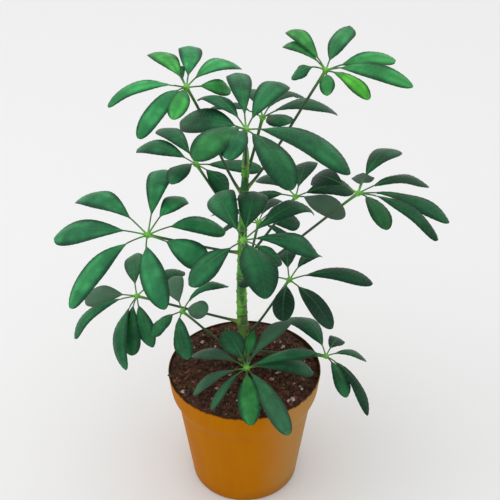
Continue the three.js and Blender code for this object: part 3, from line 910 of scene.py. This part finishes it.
def grow_petiole(growth, hub, node, bend):
    """The long stalk: its foot clasps the stem and its other end swells into the knuckle."""
    core = stem_point(node)
    out = Vector((hub.x - core.x, hub.y - core.y, 0)).normalized()
    foot = core + out * (stem_radius(node) * PETIOLE_FOOT_PLACE)
    length = (hub - foot).length
    first = foot.lerp(hub, PETIOLE_STEER[0]) + out * (PETIOLE_SWEEP * length)
    second = foot.lerp(hub, PETIOLE_STEER[1]) + Vector(bend)

    def radius_at(share):
        clasp = math.exp(-share * length / PETIOLE_FOOT_SPREAD)
        swell = math.exp(-(1 - share) * length / PETIOLE_END_SPREAD)
        thick = PETIOLE_RADIUS + (PETIOLE_FOOT_RADIUS - PETIOLE_RADIUS) * clasp
        return thick + PETIOLE_END_SWELL * swell

    points, places = [], []
    for step in range(PETIOLE_RINGS + 1):
        t = step / PETIOLE_RINGS
        r = 1 - t
        points.append(foot * r ** 3 + first * (3 * r * r * t) + second * (3 * r * t * t) + hub * t ** 3)
        places.append([(t, 0.7 * math.exp(-r * length / 0.006), 0.0)] * PETIOLE_SIDES)
    growth.loft(tube_rings(points, radius_at, PETIOLE_SIDES, PETIOLE_FLAT), places)


def grow_knuckle(growth, hub, face):
    """The small swollen node that the leaflet stalks spread from."""
    points = []
    for step in range(SHORT_STEPS + 1):
        points.append(hub + face * (HUB_RADIUS * (0.85 - 1.7 * step / SHORT_STEPS)))

    def radius_at(share):
        return HUB_RADIUS * max(math.sin(math.pi * (0.06 + 0.88 * share)), 0.1) ** 0.6

    rings = tube_rings(points, radius_at, HUB_SIDES)
    growth.loft(rings, [[(1.0, 1.0, 0.0)] * HUB_SIDES] * len(rings))


def grow_leaflet(growth, hub, face, stalk, age_and_shade, bearing, reach, rise, width,
                 youth_and_sheen=PLAIN_YOUTH, roll=0, bow=BLADE_BOW):
    """One leaflet: its stalk, and its blade of two skins that meet at the margin."""
    along = direction(bearing, rise)
    up = (face - along * face.dot(along)).normalized()
    up = Matrix.Rotation(math.radians(roll), 3, along) @ up
    across = up.cross(along)
    twist = math.radians(draw.uniform(*TWISTS))
    sway = draw.uniform(*SWAYS) * reach
    droop = draw.uniform(*DROOPS)
    wave, wave_turn = draw.uniform(*WAVES), draw.uniform(0, math.tau)
    blunt = draw.uniform(*BLUNTNESSES)
    seed = draw.uniform(0, 50)

    def middle_at(distance):
        share = distance / reach
        arch = 4 * bow * reach * share * (1 - share) * (1 + droop * (share - 0.5))
        return hub + along * distance + up * arch + across * (sway * 4 * share * (1 - share))

    def stalk_radius(share):
        return STALK_RADIUS * (1.1 + 1.1 * math.exp(-share * 5.5))

    points, places = [], []
    for step in range(SHORT_STEPS + 1):
        points.append(middle_at(stalk * 1.08 * step / SHORT_STEPS))
        places.append([(0.9, max(1.0 - 1.5 * step / SHORT_STEPS, 0.0), 0.0)] * STALK_SIDES)
    growth.loft(tube_rings(points, stalk_radius, STALK_SIDES), places)

    def shape_at(share):
        return share ** BLADE_SHOULDER * (1 - share) ** blunt

    blade = reach - stalk
    most = shape_at(BLADE_SHOULDER / (BLADE_SHOULDER + blunt))
    rings, places = [], []
    for row in range(BLADE_RINGS + 1):
        share = 0.004 + 0.994 * (1 - (1 - row / BLADE_RINGS) ** BLADE_CROWDING)
        distance = stalk + share * blade
        half = max(width / 2 * shape_at(share) / most, STALK_RADIUS * (1 - share), 0.0002)
        middle = middle_at(distance)
        ahead = (middle_at(distance + 0.0005) - middle_at(distance - 0.0005)).normalized()
        aside = Matrix.Rotation(twist * (share - 0.3), 3, ahead) @ across
        above = ahead.cross(aside)
        if above.dot(up) < 0:
            above.negate()
        top, bottom = [], []
        for column in BLADE_COLUMNS:
            out = abs(column)
            lane = distance - out * half * VEIN_SLANT
            lift = -2 * half * MARGIN_DROP * out ** 1.6
            lift += wave * column ** 2 * math.sin(wave_turn + 9 * share + (2.0 if column > 0 else 0.0))
            lift += VEIN_HEIGHT * math.sin(lane * 1000 * math.pi / VEIN_GAP + seed)
            skin = BLADE_THICKNESS / 2 * (1 - column ** 4)
            rib = RIB_DEPTH * (1 - share) ** 0.6 * math.exp(-(column * half / RIB_SPREAD) ** 2)
            base = middle + aside * (column * half) + above * lift
            place = (column * half * 1000, share * blade * 1000, out)
            top.append((base + above * (skin - 0.3 * rib), place))
            bottom.append((base - above * (skin + rib), place))
        loop = top + bottom[-2:0:-1]
        rings.append([point for point, _ in loop])
        places.append([place for _, place in loop])
    upper_sides = len(BLADE_COLUMNS) - 1
    growth.loft(rings, places, lambda side: UPPER if side < upper_sides else UNDER, (youth_and_sheen, age_and_shade, seed))


def grow_leaf(node_name, hub, node, lean, stalk, leaflets, tone, bend=(0, 0, 0)):
    """A whole leaf on the stem's node at that height. Lean is the bearing and the angle that its
    face leans by. Each leaflet is (bearing, reach from the hub to the tip, rise, blade width), with
    youth from 0 to 1 and values down to -1 for a painted grey sheen, a roll and a bow where it has
    them, and bearings anticlockwise from the right. Tone is 0 for the darkest green and 1 for the
    brightest, and stands for the leaf's age and for painted shade on leaves deep in the plant."""
    growth = Growth()
    middle = Vector(hub)
    face = direction(lean[0], 90 - lean[1])
    grow_petiole(growth, middle, node, bend)
    grow_knuckle(growth, middle, face)
    for leaflet in leaflets:
        # Each leaflet's tone of age and painted shade, a little off the leaf's own
        age_and_shade = min(max(tone + draw.uniform(*TONES), 0.0), 1.0)
        grow_leaflet(growth, middle, face, stalk, age_and_shade, *leaflet)
    name = "compound_" + node_name
    put(name, growth.mesh(name, LEAF_FINISHES), "leaf", node_name)


draw = random.Random(21)

grow_leaf("leaf_top_left", hub=(-0.041, 0.01, 0.366), node=0.285, lean=(300, 15), stalk=0.009, leaflets=[
    (119, 0.06, 4, 0.019, 0.5), (91, 0.06, 7, 0.018, 0.12), (106, 0.046, -6, 0.013, 0.15),
    (50, 0.058, -3, 0.019, 0.25, 0, 0.19), (30, 0.038, -16, 0.013, 0.45, 30),
    (205, 0.059, -4, 0.012, 0.25, 0, 0.22), (238, 0.06, -16, 0.015, 0.2, 0, 0.2),
    (260, 0.042, -8, 0.015, 0.45),
], tone=0.95, bend=(0, 0.012, 0))

grow_leaf("leaf_top_right", hub=(0.059, 0.015, 0.377), node=0.29, lean=(230, 15), stalk=0.01, leaflets=[
    (115, 0.061, 8, 0.013, 0.45), (122, 0.053, 1, 0.014, 0.35), (196, 0.026, -9, 0.013, 0.2, -5, 0.27),
    (67, 0.057, 14, 0.017, 0.2, 0, 0.06), (14, 0.053, 2, 0.015, 0.3, 15),
    (338, 0.064, -2, 0.016, 0.25, 10), (306, 0.047, -7, 0.012, 0.9), (269, 0.03, -13, 0.011, 0.35),
], tone=0.65)

grow_leaf("leaf_upper_front", hub=(0.002, -0.04, 0.357), node=0.312, lean=(300, 10), stalk=0.01, leaflets=[
    (96, 0.072, 9, 0.018), (120, 0.068, -4, 0.017), (133, 0.074, -15, 0.023, 0.05, -30, 0.07),
    (237, 0.06, 3, 0.022, 0.25), (256, 0.048, 2, 0.017, 0), (296, 0.067, -12, 0.022, 0.08),
    (334, 0.078, -12, 0.025), (65, 0.066, 6, 0.02),
], tone=0.35)

grow_leaf("leaf_upper_back", hub=(0.014, 0.015, 0.34), node=0.302, lean=(90, 5), stalk=0.01, leaflets=[
    (62, 0.066, -9, 0.018), (30, 0.068, -11, 0.022, 0.05, 8), (300, 0.035, 14, 0.02, 0.05, 6, 0.12),
    (100, 0.064, -8, 0.019, 0.1), (142, 0.058, -14, 0.018),
], tone=0.3)

grow_leaf("leaf_left_back", hub=(-0.038, 0.045, 0.285), node=0.252, lean=(150, 10), stalk=0.009, leaflets=[
    (146, 0.061, -4, 0.02, 0.05, -15, 0.18), (122, 0.062, 5, 0.019, 0.05, 0, 0.18),
    (251, 0.047, 8, 0.018), (76, 0.058, -20, 0.017), (22, 0.058, -14, 0.018, 0.1, 20, 0.04),
    (329, 0.034, -31, 0.018, 0.02, 10),
], tone=0.3)

grow_leaf("leaf_left", hub=(-0.071, -0.03, 0.266), node=0.231, lean=(255, 20), stalk=0.016, leaflets=[
    (142, 0.073, 3, 0.022, -0.12, 6, 0.2), (171, 0.074, -8, 0.022, -0.1, -4, 0.16),
    (221, 0.078, -25, 0.019, 0.12, 0, 0.2), (285, 0.068, -19, 0.02, -0.1, 20, 0.18),
    (84, 0.073, 13, 0.019), (65, 0.058, 1, 0.017, 0.08, 10), (21, 0.062, -10, 0.02, 0.1),
    (340, 0.05, -16, 0.022, -0.12, 10),
], tone=0.71)

grow_leaf("leaf_front", hub=(0, -0.07, 0.287), node=0.24, lean=(300, 15), stalk=0.009, leaflets=[
    (108, 0.062, 4, 0.023, 0.05, -30), (83, 0.064, 2, 0.022), (42, 0.07, -6, 0.015, 0.05, 0, 0.23),
    (6, 0.056, -17, 0.019, 0.05, 0, 0.15), (284, 0.062, -6, 0.025),
    (202, 0.049, -35, 0.02, 0, 0, 0.16), (330, 0.032, -20, 0.011, 0.1),
], tone=0.28)

grow_leaf("leaf_right_back", hub=(0.041, 0.03, 0.264), node=0.222, lean=(210, 15), stalk=0.009, leaflets=[
    (74, 0.056, 2, 0.018), (122, 0.057, -11, 0.017), (317, 0.049, 1, 0.021, -0.8),
    (25, 0.054, -8, 0.021, 0.05, 15), (165, 0.04, -16, 0.014),
], tone=0.15)

grow_leaf("leaf_right", hub=(0.085, -0.01, 0.29), node=0.209, lean=(210, 8), stalk=0.013, leaflets=[
    (56, 0.065, 7, 0.02, 0.1, 0, 0.2), (23, 0.062, -7, 0.018, 0.08),
    (342, 0.07, -10, 0.017, 0.05, 0, 0.13), (322, 0.07, -12, 0.013, 0.08),
    (288, 0.051, -2, 0.016, 0.15, -15), (125, 0.055, -12, 0.019, 0.05, -20),
    (76, 0.031, 1, 0.018, -1, 0, 0.04),
], tone=0.08)

grow_leaf("leaf_back", hub=(0.012, 0.075, 0.212), node=0.192, lean=(90, 10), stalk=0.009, leaflets=[
    (0, 0.036, -2, 0.024, 0.05, 20), (38, 0.056, -4, 0.018), (72, 0.058, -10, 0.018),
    (108, 0.058, -8, 0.018, 0.1), (144, 0.052, -12, 0.017), (184, 0.036, -16, 0.014),
    (326, 0.04, -18, 0.015),
], tone=0.1)

grow_leaf("leaf_right_low", hub=(0.035, -0.025, 0.222), node=0.15, lean=(200, 10), stalk=0.012, leaflets=[
    (87, 0.051, -7, 0.017), (58, 0.05, -7, 0.013), (357, 0.064, -1, 0.018, -0.1),
    (302, 0.057, -11, 0.015, -0.2), (262, 0.044, -9, 0.017), (178, 0.04, -8, 0.014),
], tone=0)

grow_leaf("leaf_left_low", hub=(-0.09, 0.02, 0.174), node=0.162, lean=(225, 20), stalk=0.01, leaflets=[
    (96, 0.051, 11, 0.018, -0.3), (160, 0.053, -17, 0.02, -0.6, -15),
    (201, 0.063, -28, 0.013, 0.05, 0, 0.25), (264, 0.064, -34, 0.017, 0.05, 25, 0.2),
    (292, 0.048, -30, 0.016, 0.1, 15), (267, 0.051, -38, 0.018, 0.1),
    (40, 0.05, 2, 0.015, 0.05, 0, 0.17),
], tone=0.26)

grow_leaf("leaf_small_left", hub=(-0.05, -0.008, 0.179), node=0.126, lean=(200, 20), stalk=0.008, leaflets=[
    (104, 0.044, 6, 0.018, -0.8), (32, 0.044, 11, 0.013, 0.05, 0, 0.26),
    (325, 0.029, 24, 0.016, -0.6, 20), (279, 0.046, -18, 0.017, 0.08, 20), (217, 0.032, -21, 0.017, 0.1),
], tone=0.35)

grow_leaf("leaf_front_low", hub=(0.002, -0.035, 0.142), node=0.124, lean=(210, 8), stalk=0.008, leaflets=[
    (132, 0.035, 38, 0.02, -0.2), (77, 0.031, 38, 0.01, 0.3), (45, 0.056, 21, 0.015, -0.5),
    (4, 0.055, -9, 0.019, -0.2), (300, 0.068, -16, 0.017, -0.35), (274, 0.054, -14, 0.018, 0.3),
    (231, 0.046, -17, 0.008, -0.3), (190, 0.049, -26, 0.012, -0.45), (147, 0.056, -12, 0.014, -0.5),
    (5, 0.056, 12, 0.014, -0.15, 0, 0.1),
], tone=0.3)

grow_leaf("leaf_small_right", hub=(0.068, -0.01, 0.134), node=0.132, lean=(0, 15), stalk=0.008, leaflets=[
    (67, 0.04, -16, 0.014), (27, 0.046, -27, 0.012), (307, 0.06, -27, 0.012),
    (292, 0.041, -20, 0.015, 0.1), (123, 0.054, 6, 0.025, 0.05, 0, 0.2), (199, 0.032, 13, 0.012, 0.1),
], tone=0.1)

# ---- Studio ----
# A plain pale floor that runs on past the view, under a white sky that is brighter overhead and
# one large softbox from the upper left.

FLOOR_SIZE = 12.0
FLOOR_DROP = 0.0001  # just under the pot's base
FLOOR_TONE = (0.80, 0.80, 0.80, 1.0)
SKY_TOP = 1.14  # brightness overhead
SKY_EDGE = 0.87  # brightness at the horizon
SKY_FADE = (0.30, 0.95)  # between these heights, as the sine of the angle above level
SOFTBOX_PLACE = (-0.9, -0.2, 1.5)
SOFTBOX_AIM = (0, 0, 0.2)
SOFTBOX_SIZE = 1.2
SOFTBOX_POWER = 3.8

floor_mesh = bpy.data.meshes.new("floor")
half = FLOOR_SIZE / 2
corners = [(-half, -half, 0), (half, -half, 0), (half, half, 0), (-half, half, 0)]
floor_mesh.from_pydata(corners, [], [(0, 1, 2, 3)])
floor = bpy.data.objects.new("floor", floor_mesh)
floor.location.z = -FLOOR_DROP
scene.collection.objects.link(floor)
paper = Finish("floor_paper")
paper.colour = FLOOR_TONE
fibre = paper.cloud(900, 2)
floor_mesh.materials.append(paper.done(0.9, paper.relief(fibre, 0.00002, 0.2)))

softbox = bpy.data.objects.new("softbox", bpy.data.lights.new("softbox", "AREA"))
softbox.data.shape = "DISK"
softbox.data.size = SOFTBOX_SIZE
softbox.data.energy = SOFTBOX_POWER
softbox.location = SOFTBOX_PLACE
softbox.rotation_euler = (Vector(SOFTBOX_AIM) - softbox.location).to_track_quat("-Z", "Y").to_euler()
scene.collection.objects.link(softbox)

sky = bpy.data.worlds.new("studio")
sky.use_nodes = True
sky_nodes, sky_links = sky.node_tree.nodes, sky.node_tree.links
background = sky_nodes["Background"]
background.inputs["Color"].default_value = (1, 1, 1, 1)
sky_way = sky_nodes.new("ShaderNodeSeparateXYZ")
sky_fade = sky_nodes.new("ShaderNodeMapRange")
sky_fade.interpolation_type = "SMOOTHSTEP"
for socket, value in zip(sky_fade.inputs[1:5], (*SKY_FADE, SKY_EDGE, SKY_TOP)):
    socket.default_value = value
sky_links.new(sky_nodes.new("ShaderNodeTexCoord").outputs["Generated"], sky_way.inputs[0])
sky_links.new(sky_way.outputs["Z"], sky_fade.inputs["Value"])
sky_links.new(sky_fade.outputs[0], background.inputs["Strength"])
scene.world = sky
scene.view_settings.view_transform = "Standard"
